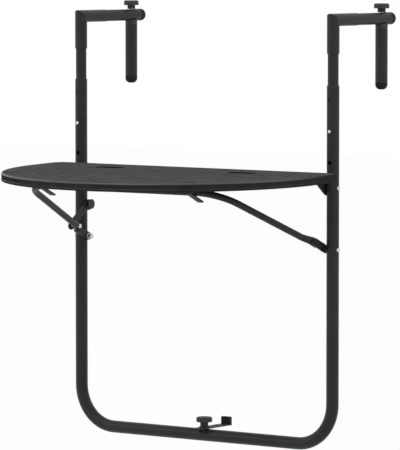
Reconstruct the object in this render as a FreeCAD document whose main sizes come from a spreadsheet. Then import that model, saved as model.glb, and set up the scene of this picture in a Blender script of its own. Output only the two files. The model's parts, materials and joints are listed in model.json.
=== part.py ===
import FreeCAD, Part
import math
import os
import re
import Sketcher

# Driving sizes in millimetres: name, value, what it is
SIZES = [
    ("tube_d", "23", "outer diameter of posts, arms and pegs"),
    ("post_wall", "1", "wall of the U frame tube"),
    ("post_spacing", "584", "distance between the post axes"),
    ("post_top", "108", "post top below the underside of the arms"),
    ("bottom_bar", "770", "bottom bar axis below the underside of the arms"),
    ("frame_bend", "77", "bend radius of the U frame"),
    ("hole_first", "27", "first height hole below the post top"),
    ("hole_pitch", "57", "pitch of the height holes"),
    ("hole_d", "8", "diameter of the height holes"),
    ("slide_gap", "0.05", "running clearance per side"),
    ("bush_flange", "1.5", "flange of the post bush"),
    ("bush_len", "20", "length of the bush inside the post"),
    ("sleeve_wall", "1.3", "wall of the hook tube"),
    ("sleeve_bottom", "50", "sleeve end below the underside of the arms"),
    ("arm_reach", "192", "arm length from the post axis to the cap face"),
    ("arm_cap_len", "15", "visible length of the arm cap"),
    ("cap_plug", "4", "length of a cap inside its tube"),
    ("cap_edge", "6", "edge radius of the arm cap"),
    ("inner_d", "20", "outer diameter of the inner tube"),
    ("inner_wall", "1", "wall of the inner tube"),
    ("inner_top", "5", "inner tube top below the underside of the arms"),
    ("inner_end", "232", "inner tube end below the underside of the arms"),
    ("rivet_d", "4.8", "shank of the blind rivets"),
    ("rivet_drop", "28", "sleeve rivet below the underside of the arms"),
    ("rivet_len", "5", "depth of the sleeve rivet"),
    ("rivet_sunk", "0.2", "sleeve rivet below the surface"),
    ("blind_d", "7.2", "blind head of the sleeve rivet"),
    ("button_d", "6.5", "diameter of the snap button"),
    ("button_flange_d", "9", "flange of the snap button"),
    ("button_flange", "0.8", "flange thickness of the snap button"),
    ("button_seat", "7", "front of the flange ahead of the post axis"),
    ("button_proud", "1.8", "button tip ahead of the post face"),
    ("button_edge", "1.2", "edge radius of the button tip"),
    ("spring_t", "0.5", "thickness of the leaf spring"),
    ("spring_w", "8", "width of the leaf spring"),
    ("spring_low", "6", "spring ends below the button axis"),
    ("spring_high", "36", "straight spring legs above the button axis"),
    ("peg_setback", "34.7", "peg axis before the cap face"),
    ("peg_len", "120", "peg tip below the underside of the arms"),
    ("peg_wall", "1.5", "wall of the peg tube"),
    ("saddle_drop", "6", "saddle below the underside of the arm"),
    ("saddle_rise", "2.5", "saddle rim above the underside of the arm"),
    ("peg_cap_len", "13", "visible length of the domed peg cap"),
    ("peg_dome", "9.2", "edge radius of the domed peg cap"),
    ("peg_insert_len", "34", "length of the threaded insert in the peg"),
    ("stud_d", "8", "stud of the clamp knob and the spacer knob"),
    ("stud_len", "30", "stud below the underside of the arm"),
    ("slot_w", "8.6", "width of the slots for the studs"),
    ("slot_front", "80", "peg travel towards the posts"),
    ("slot_back", "10", "peg travel away from the posts"),
    ("neck_d", "15", "neck of the clamp knob"),
    ("neck_len", "7.3", "neck length of the clamp knob"),
    ("knob_d", "28.5", "head of the clamp knob"),
    ("knob_t", "9.2", "head height of the clamp knob"),
    ("knob_edge", "3", "upper edge radius of the knob heads"),
    ("knob_under", "1.2", "lower edge radius of the knob heads"),
    ("top_overhang", "36", "tabletop side beyond the post axis"),
    ("top_thick", "15.2", "thickness of the tabletop"),
    ("top_level", "265.6", "tabletop surface below the underside of the arms, drawn level"),
    ("top_droop", "1.5", "slope of the tabletop towards the front, in degrees"),
    ("top_gap", "22.8", "rear edge of the tabletop ahead of the post axis"),
    ("top_side", "82", "straight sides of the tabletop"),
    ("top_front", "288.5", "depth of the half ellipse at the front"),
    ("top_corner", "25", "rear corner radius of the tabletop"),
    ("top_edge", "3", "upper edge radius of the tabletop"),
    ("top_edge_low", "2", "lower edge radius of the tabletop"),
    ("recess_len", "38", "distance between the round ends of a recess"),
    ("recess_w", "22", "width of the recesses"),
    ("recess_depth", "2.5", "depth of the recesses"),
    ("recess_x", "153", "recess centre from the middle"),
    ("recess_y", "91", "recess centre ahead of the post axis"),
    ("hinge_drop", "14.7", "hinge axis below the tabletop"),
    ("bolt_d", "6", "hinge and pivot bolts"),
    ("head_d", "9", "bolt heads across corners"),
    ("head_t", "2", "height of the bolt heads"),
    ("nut_d", "11.5", "nuts across corners"),
    ("nut_t", "6.5", "height of the nuts"),
    ("bolt_end", "1", "bolt end beyond its nut"),
    ("hinge_play", "0.3", "gap between bracket and post"),
    ("bracket_t", "2.5", "sheet of the hinge brackets"),
    ("bracket_r", "14", "radius of the bracket round the bolt"),
    ("bracket_front", "37", "web front ahead of the post axis"),
    ("tangent_deg", "48", "where the web meets its round end"),
    ("flange_front", "47", "flange front ahead of the post axis"),
    ("flange_back", "25", "flange rear ahead of the post axis"),
    ("flange_len", "41", "length of the bracket flange"),
    ("screw_d", "4", "wood screws"),
    ("screw_head_d", "7", "heads of the wood screws"),
    ("screw_head_t", "1.8", "height of the screw heads"),
    ("screw_deep", "9", "screw length inside the tabletop"),
    ("screw_first", "13", "first bracket screw from the web"),
    ("screw_pitch", "18", "distance between the bracket screws"),
    ("bar_d", "12.4", "brace tube diameter"),
    ("bar_wall", "1.2", "brace tube wall"),
    ("bar_reach", "255.7", "brace cross bar ahead of the post axis, drawn level"),
    ("bar_half", "219.7", "corner of the brace from the middle"),
    ("bar_bend", "62", "bend radius of the brace"),
    ("pivot_drop", "112.5", "brace pivot below the hinge axis"),
    ("flat_t", "4", "flattened tube ends"),
    ("flat_w", "15", "width of the flattened tube ends"),
    ("flat_start", "28", "flattened end from the pivot"),
    ("flat_end", "44", "end of the flat part from the pivot"),
    ("round_start", "60", "round tube from the pivot"),
    ("leg_offset", "13.05", "leg axis from the outer face of its flat end"),
    ("tab_w", "15", "width of the pivot tabs"),
    ("tab_t", "2.9", "thickness of the pivot tabs"),
    ("tab_len", "38.4", "tab length between its round ends"),
    ("tab_rivet_d", "4.8", "rivet between tab and tube"),
    ("rivet_head_d", "8", "rivet heads"),
    ("rivet_head_t", "1.4", "height of the rivet heads"),
    ("spacer_ring_t", "3", "plastic spacer ring at the pivot"),
    ("washer_t", "1", "steel washer at the pivot"),
    ("washer_d", "12", "washers at the pivot"),
    ("clip_x", "170", "clips from the middle"),
    ("clip_w", "20", "width of the clips"),
    ("clip_roof", "6.7", "clip thickness ahead of the cross bar"),
    ("clip_lip", "0.9", "clip thickness above the cross bar"),
    ("clip_gap", "0.3", "gap between clip and cross bar"),
    ("clip_front", "51", "clip front ahead of the cross bar"),
    ("clip_back", "14", "clip rear behind the cross bar"),
    ("tongue_w", "12.6", "width of the clip tongue"),
    ("tongue_t", "2.6", "thickness of the clip tongue"),
    ("tongue_tilt", "27", "slope of the clip tongue, in degrees"),
    ("tongue_tip", "26", "tongue tip behind the cross bar, along its slope"),
    ("clip_screw_y", "46", "clip screws ahead of the cross bar"),
    ("clip_screw_x", "5", "clip screws from the clip middle"),
    ("lock_level", "346.5", "lock knob axis below the underside of the arms"),
    ("lock_along", "57", "link rivet along the brace leg"),
    ("link_w", "16", "width of the lock link"),
    ("lobe_d", "20.6", "round lobe at the knob end of the link"),
    ("lobe_drop", "2", "lobe centre below the link axis"),
    ("link_t", "2.5", "thickness of the lock link"),
    ("link_gap", "0.2", "gap between link and brace leg"),
    ("notch_w", "7.6", "width of the notch in the link"),
    ("notch_deg", "68.6", "notch direction against the link"),
    ("lock_stud_d", "6", "stud of the lock knob"),
    ("lock_stud_in", "6", "lock stud inside the post"),
    ("lock_flange_d", "12", "flange of the lock insert"),
    ("lock_barrel_d", "9", "barrel of the lock insert"),
    ("lock_barrel", "7", "barrel length of the lock insert"),
    ("shoulder_d", "6.8", "shoulder of the link rivet"),
    ("lock_neck", "5.4", "neck length of the lock knob"),
    ("lock_neck_d", "10", "foot of the lock knob's neck"),
    ("lock_neck_top_d", "13.6", "top of the lock knob's neck"),
    ("lock_head_d", "19", "head of the lock knob"),
    ("lock_head_t", "2.6", "head height of the lock knob"),
    ("lock_edge", "1", "edge radius of the lock knob"),
    ("spacer_w", "20", "width of the spacer bar"),
    ("spacer_t", "2.5", "thickness of the spacer bar"),
    ("spacer_front", "24", "spacer bar ahead of the bottom bar axis"),
    ("spacer_back", "71.5", "spacer bar behind the bottom bar axis"),
    ("spacer_up", "14", "turned up end of the spacer bar"),
    ("spacer_slot_front", "18", "slot ahead of the bottom bar axis"),
    ("spacer_slot_back", "48", "slot behind the bottom bar axis"),
    ("pad_wall", "2", "front and side walls of the rubber cap"),
    ("pad_top", "2.2", "rubber cap above the turned up end"),
    ("pad_back", "2.5", "rubber cap behind the turned up end"),
    ("pad_low", "0.5", "rubber cap below the spacer bar"),
    ("pad_edge", "1.2", "edge radius of the rubber cap"),
    ("base_knob_d", "30", "head of the spacer knob"),
    ("base_neck", "10.3", "neck of the spacer knob"),
    ("base_foot_d", "19", "foot flange of the spacer knob"),
    ("base_foot_t", "1.5", "foot flange thickness of the spacer knob"),
    ("base_insert_d", "12", "insert in the bottom bar"),
    ("base_insert_len", "12", "length of the insert in the bottom bar"),
]

doc = FreeCAD.newDocument("BarTable")
sheet = doc.addObject("Spreadsheet::Sheet", "Sizes")
for row, (alias, value, note) in enumerate(SIZES, start=1):
    sheet.set("A%d" % row, note)
    sheet.set("B%d" % row, value)
    sheet.setAlias("B%d" % row, alias)
doc.recompute()

ALIASES = {alias for alias, value, note in SIZES}
NODES = []
SIDES = ("left", "right")
TURN = {
    "x": FreeCAD.Rotation(FreeCAD.Vector(0, 1, 0), 90),
    "-x": FreeCAD.Rotation(FreeCAD.Vector(0, 1, 0), -90),
    "y": FreeCAD.Rotation(FreeCAD.Vector(1, 0, 0), -90),
    "-y": FreeCAD.Rotation(FreeCAD.Vector(1, 0, 0), 90),
    "z": FreeCAD.Rotation(),
    "-z": FreeCAD.Rotation(FreeCAD.Vector(1, 0, 0), 180),
}

# Places worked out from the driving sizes
POST_X = "(post_spacing / 2)"
POST_Y = "(-tube_d / 2)"
POST_IN = "(post_spacing / 2 - tube_d / 2)"
POST_OUT = "(post_spacing / 2 + tube_d / 2)"
TUBE_TOP = "(-post_top - bush_flange)"
BUTTON_Z = "(-post_top - hole_first - hole_pitch)"
ARM_Z = "(tube_d / 2)"
ARM_END = "(arm_reach - tube_d / 2)"
SLEEVE_BORE = "(tube_d / 2 - sleeve_wall)"
INNER_BORE = "(inner_d / 2 - inner_wall)"
PEG_REACH = "(arm_reach - peg_setback)"
PEG_Y = "(%s - tube_d / 2)" % PEG_REACH
PEG_BORE = "(tube_d / 2 - peg_wall)"
PEG_END = "(-peg_len + peg_cap_len)"
TOP_HALF = "(post_spacing / 2 + top_overhang)"
UNDER = "(-top_level - top_thick)"
TOP_REAR = "(-tube_d / 2 - top_gap)"
HINGE_Z = "(-top_level - top_thick - hinge_drop)"
PIVOT_Z = "(-top_level - top_thick - hinge_drop - pivot_drop)"
CLIP_ROOF = "(%s - clip_roof)" % UNDER
BAR_Y = "(%s - bar_reach)" % POST_Y
BAR_Z = "(%s - clip_lip - clip_gap - bar_d / 2)" % UNDER
BAR_RISE = "(%s - %s)" % (BAR_Z, HINGE_Z)
BRACE_REACH = "(bar_reach * cos(top_droop) + %s * sin(top_droop))" % BAR_RISE
BRACE_RISE = "(pivot_drop + %s * cos(top_droop) - bar_reach * sin(top_droop))" % BAR_RISE
BRACE_LEN = "sqrt(%s ^ 2 + %s ^ 2)" % (BRACE_REACH, BRACE_RISE)
BRACE_TILT = "atan(%s / %s)" % (BRACE_RISE, BRACE_REACH)
WEB_OUT = "(%s - hinge_play)" % POST_IN
WEB_IN = "(%s - hinge_play - bracket_t)" % POST_IN
TAB_OUT = "(%s - spacer_ring_t - slide_gap)" % POST_IN
TAB_IN = "(%s - tab_t)" % TAB_OUT
WASHER_IN = "(%s - slide_gap - washer_t)" % TAB_IN
LINK_IN = "(%s + link_gap)" % TAB_IN
LINK_OUT = "(%s + link_t)" % LINK_IN
LINK_Y = "(%s - lock_along * cos(%s))" % (POST_Y, BRACE_TILT)
LINK_Z = "(%s + lock_along * sin(%s))" % (PIVOT_Z, BRACE_TILT)
LOCK_Z = "(-lock_level)"
LINK_TILT = "atan((%s - %s) / (%s - %s))" % (LOCK_Z, LINK_Z, POST_Y, LINK_Y)
LINK_LEN = "sqrt((%s - %s) ^ 2 + (%s - %s) ^ 2)" % (LOCK_Z, LINK_Z, POST_Y, LINK_Y)
SPACER_Z = "(-bottom_bar + tube_d / 2 + slide_gap)"
SPACER_TOP = "(%s + spacer_t)" % SPACER_Z
SPACER_END = "(%s + spacer_back)" % POST_Y


def full(text):
    # Put the sheet's name in front of every size in an expression
    return re.sub(r"\b[a-z][a-z0-9_]*\b", lambda m: "Sizes." + m[0] if m[0] in ALIASES else m[0], text)


def number(text):
    value = sheet.evalExpression(full(text))
    return float(getattr(value, "Value", value))


def bind(obj, **properties):
    for name, text in properties.items():
        obj.setExpression(name, full(text))


def place(obj, at, prefix="Placement"):
    for axis, text in zip("xyz", at):
        obj.setExpression("%s.Base.%s" % (prefix, axis), full(text))


def node(obj, label):
    obj.Label = label
    NODES.append(obj)
    return obj


def mirror(side, text):
    return "(-%s)" % text if side == "left" else text


def low_x(side, near, far):
    # Lower X of a plate that lies between two distances from the middle
    return "(-%s)" % far if side == "left" else near


def droop(obj):
    # Turns a piece that is drawn level about the hinge axis, down towards the front
    obj.Placement = FreeCAD.Placement(FreeCAD.Vector(), FreeCAD.Rotation(FreeCAD.Vector(1, 0, 0), 10))
    bind(obj, **{"Placement.Rotation.Angle": "top_droop"})
    place(obj, ("0", "%s * (1 - cos(top_droop)) + %s * sin(top_droop)" % (POST_Y, HINGE_Z),
                "%s * (1 - cos(top_droop)) - %s * sin(top_droop)" % (HINGE_Z, POST_Y)))


# Simple solids and booleans
def rod(name, axis, radius, length, at):
    obj = doc.addObject("Part::Cylinder", name)
    obj.Placement = FreeCAD.Placement(FreeCAD.Vector(), TURN[axis])
    bind(obj, Radius=radius, Height=length)
    place(obj, at)
    return obj


def hexagon(name, axis, radius, length, at):
    obj = doc.addObject("Part::Prism", name)
    obj.Polygon = 6
    obj.Placement = FreeCAD.Placement(FreeCAD.Vector(), TURN[axis])
    bind(obj, Circumradius=radius, Height=length)
    place(obj, at)
    return obj


def block(name, size, at):
    obj = doc.addObject("Part::Box", name)
    bind(obj, Length=size[0], Width=size[1], Height=size[2])
    place(obj, at)
    return obj


def fuse(name, shapes):
    obj = doc.addObject("Part::MultiFuse", name)
    obj.Shapes = shapes
    obj.Refine = True
    return obj


def cut(name, base, tool):
    obj = doc.addObject("Part::Cut", name)
    obj.Base = base
    obj.Tool = tool
    obj.Refine = True
    return obj


# Sketches and features inside a body
def new_body(label, at=("0", "0", "0")):
    obj = doc.addObject("PartDesign::Body", label)
    place(obj, at)
    return node(obj, label)


def sketch_on(body, name, role, offset=("0", "0", "0")):
    sketch = body.newObject("Sketcher::SketchObject", name)
    plane = [f for f in body.Origin.OriginFeatures if f.Role == role][0]
    sketch.AttachmentSupport = [(plane, "")]
    sketch.MapMode = "FlatFace"
    place(sketch, offset, "AttachmentOffset")
    return sketch


def pin(sketch, geometry, point, corner):
    for kind, text in zip(("DistanceX", "DistanceY"), corner):
        index = sketch.addConstraint(Sketcher.Constraint(kind, -1, 1, geometry, point, number(text)))
        sketch.setExpression("Constraints[%d]" % index, full(text))


def polygon(sketch, corners):
    points = [FreeCAD.Vector(number(x), number(y), 0) for x, y in corners]
    first = sketch.GeometryCount
    count = len(points)
    for i in range(count):
        sketch.addGeometry(Part.LineSegment(points[i], points[(i + 1) % count]))
    for i in range(count):
        sketch.addConstraint(Sketcher.Constraint("Coincident", first + i, 2, first + (i + 1) % count, 1))
        pin(sketch, first + i, 1, corners[i])


def rectangle(sketch, x0, y0, x1, y1):
    polygon(sketch, [(x0, y0), (x1, y0), (x1, y1), (x0, y1)])


def circle(sketch, centre, radius):
    middle = FreeCAD.Vector(number(centre[0]), number(centre[1]), 0)
    index = sketch.addGeometry(Part.Circle(middle, FreeCAD.Vector(0, 0, 1), number(radius)))
    pin(sketch, index, 3, centre)
    limit = sketch.addConstraint(Sketcher.Constraint("Radius", index, number(radius)))
    sketch.setExpression("Constraints[%d]" % limit, full(radius))


def upright_ellipse(sketch, centre, half_height, half_width):
    x, y = number(centre[0]), number(centre[1])
    tall, wide = number(half_height), number(half_width)
    top, side, middle = (FreeCAD.Vector(*spot, 0) for spot in ((x, y + tall), (x + wide, y), (x, y)))
    index = sketch.addGeometry(Part.Ellipse(top, side, middle))
    sketch.exposeInternalGeometry(index)
    pin(sketch, index, 3, centre)
    sketch.addConstraint(Sketcher.Constraint("Vertical", index + 1))
    for line, text in ((index + 1, half_height), (index + 2, half_width)):
        limit = sketch.addConstraint(Sketcher.Constraint("Distance", line, 2 * number(text)))
        sketch.setExpression("Constraints[%d]" % limit, full("2 * (%s)" % text))


def bent_path(sketch, points, centres):
    # Straight runs between points 0-1, 2-3, 4-5, joined by arcs about the given centres
    spots = [FreeCAD.Vector(number(x), number(y), 0) for x, y in points]
    lines = []
    for i in range(0, len(points), 2):
        line = sketch.addGeometry(Part.LineSegment(spots[i], spots[i + 1]))
        pin(sketch, line, 1, points[i])
        pin(sketch, line, 2, points[i + 1])
        lines.append(line)
    for i, centre in enumerate(centres):
        middle = FreeCAD.Vector(number(centre[0]), number(centre[1]), 0)
        start = spots[2 * i + 1] - middle
        end = spots[2 * i + 2] - middle
        a = math.atan2(start.y, start.x)
        b = math.atan2(end.y, end.x)
        forward = (b - a) % (2 * math.pi) < math.pi
        if not forward:
            a, b = b, a
        ring = Part.Circle(middle, FreeCAD.Vector(0, 0, 1), start.Length)
        arc = sketch.addGeometry(Part.ArcOfCircle(ring, a, b))
        near, far = (1, 2) if forward else (2, 1)
        sketch.addConstraint(Sketcher.Constraint("Coincident", lines[i], 2, arc, near))
        sketch.addConstraint(Sketcher.Constraint("Coincident", arc, far, lines[i + 1], 1))
        chord = end - start
        across = 1 if abs(chord.x) > abs(chord.y) else 0
        kind = ("DistanceX", "DistanceY")[across]
        index = sketch.addConstraint(Sketcher.Constraint(kind, -1, 1, arc, 3, middle[across]))
        sketch.setExpression("Constraints[%d]" % index, full(centre[across]))


def pad(body, name, sketch, length):
    feature = body.newObject("PartDesign::Pad", name)
    feature.Profile = sketch
    bind(feature, Length=length)
    body.Tip = feature
    return feature


def pocket(body, name, sketch, length=None, reverse=False):
    feature = body.newObject("PartDesign::Pocket", name)
    feature.Profile = sketch
    if length is None:
        feature.Type = "ThroughAll"
        feature.SideType = "Symmetric"
    else:
        feature.Reversed = reverse
        bind(feature, Length=length)
    body.Tip = feature
    return feature


def long_slot(body, name, plane, level, start, end, width, length=None):
    # A slot with round ends between two points on one line along X or Y
    half = "(%s / 2)" % width
    for step, spot in enumerate((start, end)):
        sketch = sketch_on(body, "%s_end_%d" % (name, step), plane, ("0", "0", level))
        circle(sketch, spot, half)
        pocket(body, "%s_end_cut_%d" % (name, step), sketch, length)
    sketch = sketch_on(body, name + "_middle", plane, ("0", "0", level))
    if start[0] == end[0]:
        rectangle(sketch, "%s - %s" % (start[0], half), start[1], "%s + %s" % (start[0], half), end[1])
    else:
        rectangle(sketch, start[0], "%s - %s" % (start[1], half), end[0], "%s + %s" % (start[1], half))
    pocket(body, name + "_middle_cut", sketch, length)


def sweep(body, name, profile, path, corner="Transformed"):
    feature = body.newObject("PartDesign::AdditivePipe", name)
    feature.Profile = profile
    feature.Spine = path
    feature.Transition = corner
    body.Tip = feature
    return feature


def round_edges(body, name, radius, wanted):
    doc.recompute()
    base = body.Tip
    chosen = ["Edge%d" % i for i, edge in enumerate(base.Shape.Edges, start=1) if wanted(edge)]
    feature = body.newObject("PartDesign::Fillet", name)
    feature.Base = (base, chosen)
    bind(feature, Radius=radius)
    body.Tip = feature
    return feature


def rim(radius, height):
    # Picks the circular edge of a turned piece at this radius and height
    def wanted(edge):
        curve = edge.Curve
        if not hasattr(curve, "Radius"):
            return False
        return abs(curve.Radius - number(radius)) < 0.001 and abs(curve.Center.z - number(height)) < 0.001
    return wanted


def turned(label, axis, at, corners):
    # A piece turned about its own Z, laid along the given axis
    body = doc.addObject("PartDesign::Body", label)
    body.Placement = FreeCAD.Placement(FreeCAD.Vector(), TURN[axis])
    place(body, at)
    sketch = sketch_on(body, label + "_profile", "XZ_Plane")
    polygon(sketch, corners)
    feature = body.newObject("PartDesign::Revolution", label + "_turned")
    feature.Profile = sketch
    feature.ReferenceAxis = (sketch, ["V_Axis"])
    feature.Angle = 360
    body.Tip = feature
    return node(body, label)


def strap(label, x, thick, width, length, tilt, at):
    # A flat strip with round ends, its first hole at the body's origin
    body = doc.addObject("PartDesign::Body", label)
    body.Placement = FreeCAD.Placement(FreeCAD.Vector(), FreeCAD.Rotation(FreeCAD.Vector(1, 0, 0), 10))
    bind(body, **{"Placement.Rotation.Angle": tilt})
    place(body, (x, at[0], at[1]))
    half = "(%s / 2)" % width
    ends = (("first", "0"), ("last", length))
    for name, y in ends:
        sketch = sketch_on(body, "%s_%s_end" % (label, name), "YZ_Plane")
        circle(sketch, (y, "0"), half)
        pad(body, "%s_%s" % (label, name), sketch, thick)
    sketch = sketch_on(body, label + "_middle", "YZ_Plane")
    rectangle(sketch, "0", "(-%s)" % half, length, half)
    pad(body, label + "_strip", sketch, thick)
    return node(body, label)


# U frame: two posts and the bottom bar bent from one tube
frame = new_body("u_frame")
path = sketch_on(frame, "frame_path", "XZ_Plane", ("0", "0", "tube_d / 2"))
turn_x = "(post_spacing / 2 - frame_bend)"
turn_z = "(frame_bend - bottom_bar)"
bent_path(path, [
    ("(-%s)" % POST_X, TUBE_TOP), ("(-%s)" % POST_X, turn_z),
    ("(-%s)" % turn_x, "(-bottom_bar)"), (turn_x, "(-bottom_bar)"),
    (POST_X, turn_z), (POST_X, TUBE_TOP),
], [("(-%s)" % turn_x, turn_z), (turn_x, turn_z)])
ring = sketch_on(frame, "frame_ring", "XY_Plane", ("0", "0", TUBE_TOP))
for radius in ("tube_d / 2", "tube_d / 2 - post_wall"):
    circle(ring, ("(-%s)" % POST_X, POST_Y), radius)
sweep(frame, "frame_tube", ring, path)
holes = sketch_on(frame, "height_holes", "XZ_Plane", ("0", "0", "tube_d / 2"))
for side in SIDES:
    for step in range(3):
        drop = "(-post_top - hole_first - %d * hole_pitch)" % step
        circle(holes, (mirror(side, POST_X), drop), "hole_d / 2")
pocket(frame, "height_hole_cut", holes, "tube_d", reverse=True)
holes = sketch_on(frame, "bolt_holes", "YZ_Plane")
for level in (HINGE_Z, PIVOT_Z):
    circle(holes, (POST_Y, level), "bolt_d / 2")
pocket(frame, "bolt_hole_cut", holes)
hole = sketch_on(frame, "lock_hole", "YZ_Plane", ("0", "0", "(-%s)" % POST_X))
circle(hole, (POST_Y, LOCK_Z), "lock_barrel_d / 2")
pocket(frame, "lock_hole_cut", hole, "tube_d", reverse=True)
hole = sketch_on(frame, "base_hole", "XY_Plane", ("0", "0", "(-bottom_bar)"))
circle(hole, ("0", POST_Y), "base_insert_d / 2")
pocket(frame, "base_hole_cut", hole, "tube_d", reverse=True)

# Guide bushes, hooks, snap buttons and pegs on both sides
for side in SIDES:
    x = mirror(side, POST_X)

    turned("post_bush_" + side, "z", (x, POST_Y, TUBE_TOP), [
        ("inner_d / 2 + slide_gap", "(-bush_len)"), ("tube_d / 2 - post_wall", "(-bush_len)"),
        ("tube_d / 2 - post_wall", "0"), ("tube_d / 2", "0"),
        ("tube_d / 2", "bush_flange"), ("inner_d / 2 + slide_gap", "bush_flange"),
    ])

    inner = cut("inner_bore_" + side,
                rod("inner_outer_" + side, "z", "inner_d / 2", "inner_end - inner_top",
                    (x, POST_Y, "-inner_end")),
                rod("inner_hollow_" + side, "z", INNER_BORE, "inner_end - inner_top",
                    (x, POST_Y, "-inner_end")))
    inner = cut("inner_button_" + side, inner,
                rod("inner_hole_" + side, "-y", "button_d / 2 + slide_gap", "inner_d",
                    (x, POST_Y, BUTTON_Z)))
    inner = cut("inner_riveted_" + side, inner,
                rod("inner_rivet_" + side, "y", "rivet_d / 2", "inner_d", (x, POST_Y, "-rivet_drop")))
    node(inner, "inner_tube_" + side)

    hook = new_body("hook_tube_" + side, (x, POST_Y, "0"))
    path = sketch_on(hook, "hook_path_" + side, "YZ_Plane")
    seam = "(arm_reach - arm_cap_len)"
    corner = [("0", "(-sleeve_bottom)"), ("0", ARM_Z), (seam, ARM_Z)]
    for i in range(2):
        ends = [FreeCAD.Vector(number(a), number(b), 0) for a, b in corner[i:i + 2]]
        path.addGeometry(Part.LineSegment(*ends))
        pin(path, i, 1, corner[i])
    pin(path, 1, 2, corner[2])
    path.addConstraint(Sketcher.Constraint("Coincident", 0, 2, 1, 1))
    ring = sketch_on(hook, "hook_ring_" + side, "XY_Plane", ("0", "0", "(-sleeve_bottom)"))
    for radius in ("tube_d / 2", SLEEVE_BORE):
        circle(ring, ("0", "0"), radius)
    sweep(hook, "hook_sweep_" + side, ring, path, "Right corner")
    long_slot(hook, "arm_slot_" + side, "XY_Plane", ARM_Z, ("0", "(%s - slot_front)" % PEG_REACH),
              ("0", "(%s + slot_back)" % PEG_REACH), "slot_w")
    hole = sketch_on(hook, "sleeve_hole_" + side, "XZ_Plane")
    circle(hole, ("0", "(-rivet_drop)"), "rivet_d / 2")
    pocket(hook, "sleeve_hole_cut_" + side, hole, "tube_d")

    cap = turned("arm_cap_" + side, "y", (x, "%s - arm_cap_len" % ARM_END, ARM_Z), [
        ("0", "(-cap_plug)"), (SLEEVE_BORE, "(-cap_plug)"), (SLEEVE_BORE, "0"),
        ("tube_d / 2", "0"), ("tube_d / 2", "arm_cap_len"), ("0", "arm_cap_len"),
    ])
    round_edges(cap, "arm_cap_edge_" + side, "cap_edge", rim("tube_d / 2", "arm_cap_len"))

    blind = "(tube_d / 2 - sqrt(%s ^ 2 - (blind_d / 2) ^ 2))" % INNER_BORE
    turned("hook_rivet_" + side, "-y", (x, "0", "(-rivet_drop)"), [
        ("0", "rivet_sunk"), ("rivet_d / 2", "rivet_sunk"), ("rivet_d / 2", blind),
        ("blind_d / 2", blind), ("blind_d / 2", "rivet_len"), ("0", "rivet_len"),
    ])

    spring = new_body("snap_spring_" + side, (x, POST_Y, BUTTON_Z))
    front = "(-button_seat + button_flange + spring_t / 2)"
    back = "(sqrt(%s ^ 2 - (spring_w / 2) ^ 2) - spring_t / 2)" % INNER_BORE
    path = sketch_on(spring, "spring_path_" + side, "YZ_Plane")
    bent_path(path, [
        (front, "(-spring_low)"), (front, "spring_high"),
        (back, "spring_high"), (back, "(-spring_low)"),
    ], [("((%s + %s) / 2)" % (front, back), "spring_high")])
    strip = sketch_on(spring, "spring_strip_" + side, "XY_Plane", ("0", "0", "(-spring_low)"))
    rectangle(strip, "-spring_w / 2", "%s - spring_t / 2" % front,
              "spring_w / 2", "%s + spring_t / 2" % front)
    sweep(spring, "spring_sweep_" + side, strip, path)

    tip = "(tube_d / 2 + button_proud - button_seat)"
    button = turned("snap_button_" + side, "-y", (x, "%s - button_seat" % POST_Y, BUTTON_Z), [
        ("0", "(-button_flange)"), ("button_flange_d / 2", "(-button_flange)"),
        ("button_flange_d / 2", "0"), ("button_d / 2", "0"), ("button_d / 2", tip), ("0", tip),
    ])
    round_edges(button, "button_edge_" + side, "button_edge", rim("button_d / 2", tip))

    saddle = cut("saddle_arm_" + side,
                 rod("saddle_block_" + side, "z", "tube_d / 2", "saddle_drop + saddle_rise",
                     (x, PEG_Y, "-saddle_drop")),
                 rod("saddle_way_" + side, "y", "tube_d / 2 + slide_gap", "2 * tube_d",
                     (x, "%s - tube_d" % PEG_Y, ARM_Z)))
    saddle = cut("saddle_bored_" + side, saddle,
                 rod("saddle_bore_" + side, "z", "stud_d / 2 + slide_gap", "2 * tube_d",
                     (x, PEG_Y, "-tube_d")))
    node(saddle, "peg_saddle_" + side)

    turned("peg_tube_" + side, "z", (x, PEG_Y, PEG_END), [
        (PEG_BORE, "0"), ("tube_d / 2", "0"), ("tube_d / 2", "(peg_len - peg_cap_len - saddle_drop)"),
        (PEG_BORE, "(peg_len - peg_cap_len - saddle_drop)"),
    ])
    turned("peg_insert_" + side, "-z", (x, PEG_Y, "-saddle_drop"), [
        ("stud_d / 2 + slide_gap", "0"), (PEG_BORE, "0"), (PEG_BORE, "peg_insert_len"),
        ("stud_d / 2 + slide_gap", "peg_insert_len"),
    ])
    cap = turned("peg_cap_" + side, "-z", (x, PEG_Y, PEG_END), [
        ("0", "(-cap_plug)"), (PEG_BORE, "(-cap_plug)"), (PEG_BORE, "0"),
        ("tube_d / 2", "0"), ("tube_d / 2", "peg_cap_len"), ("0", "peg_cap_len"),
    ])
    round_edges(cap, "peg_cap_edge_" + side, "peg_dome", rim("tube_d / 2", "peg_cap_len"))

    seat = "(tube_d + slide_gap)"
    grip = turned("clamp_knob_" + side, "z", (x, PEG_Y, seat), [
        ("stud_d / 2", "0"), ("neck_d / 2", "0"), ("neck_d / 2", "neck_len"),
        ("knob_d / 2", "neck_len"), ("knob_d / 2", "(neck_len + knob_t)"),
        ("0", "(neck_len + knob_t)"), ("0", "(neck_len + knob_t / 2)"),
        ("stud_d / 2", "(neck_len + knob_t / 2)"),
    ])
    round_edges(grip, "clamp_top_edge_" + side, "knob_edge", rim("knob_d / 2", "neck_len + knob_t"))
    round_edges(grip, "clamp_low_edge_" + side, "knob_under", rim("knob_d / 2", "neck_len"))
    node(rod("clamp_stud_" + side, "z", "stud_d / 2", "%s + neck_len + knob_t / 2 + stud_len" % seat,
             (x, PEG_Y, "-stud_len")), "clamp_stud_" + side)

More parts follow.
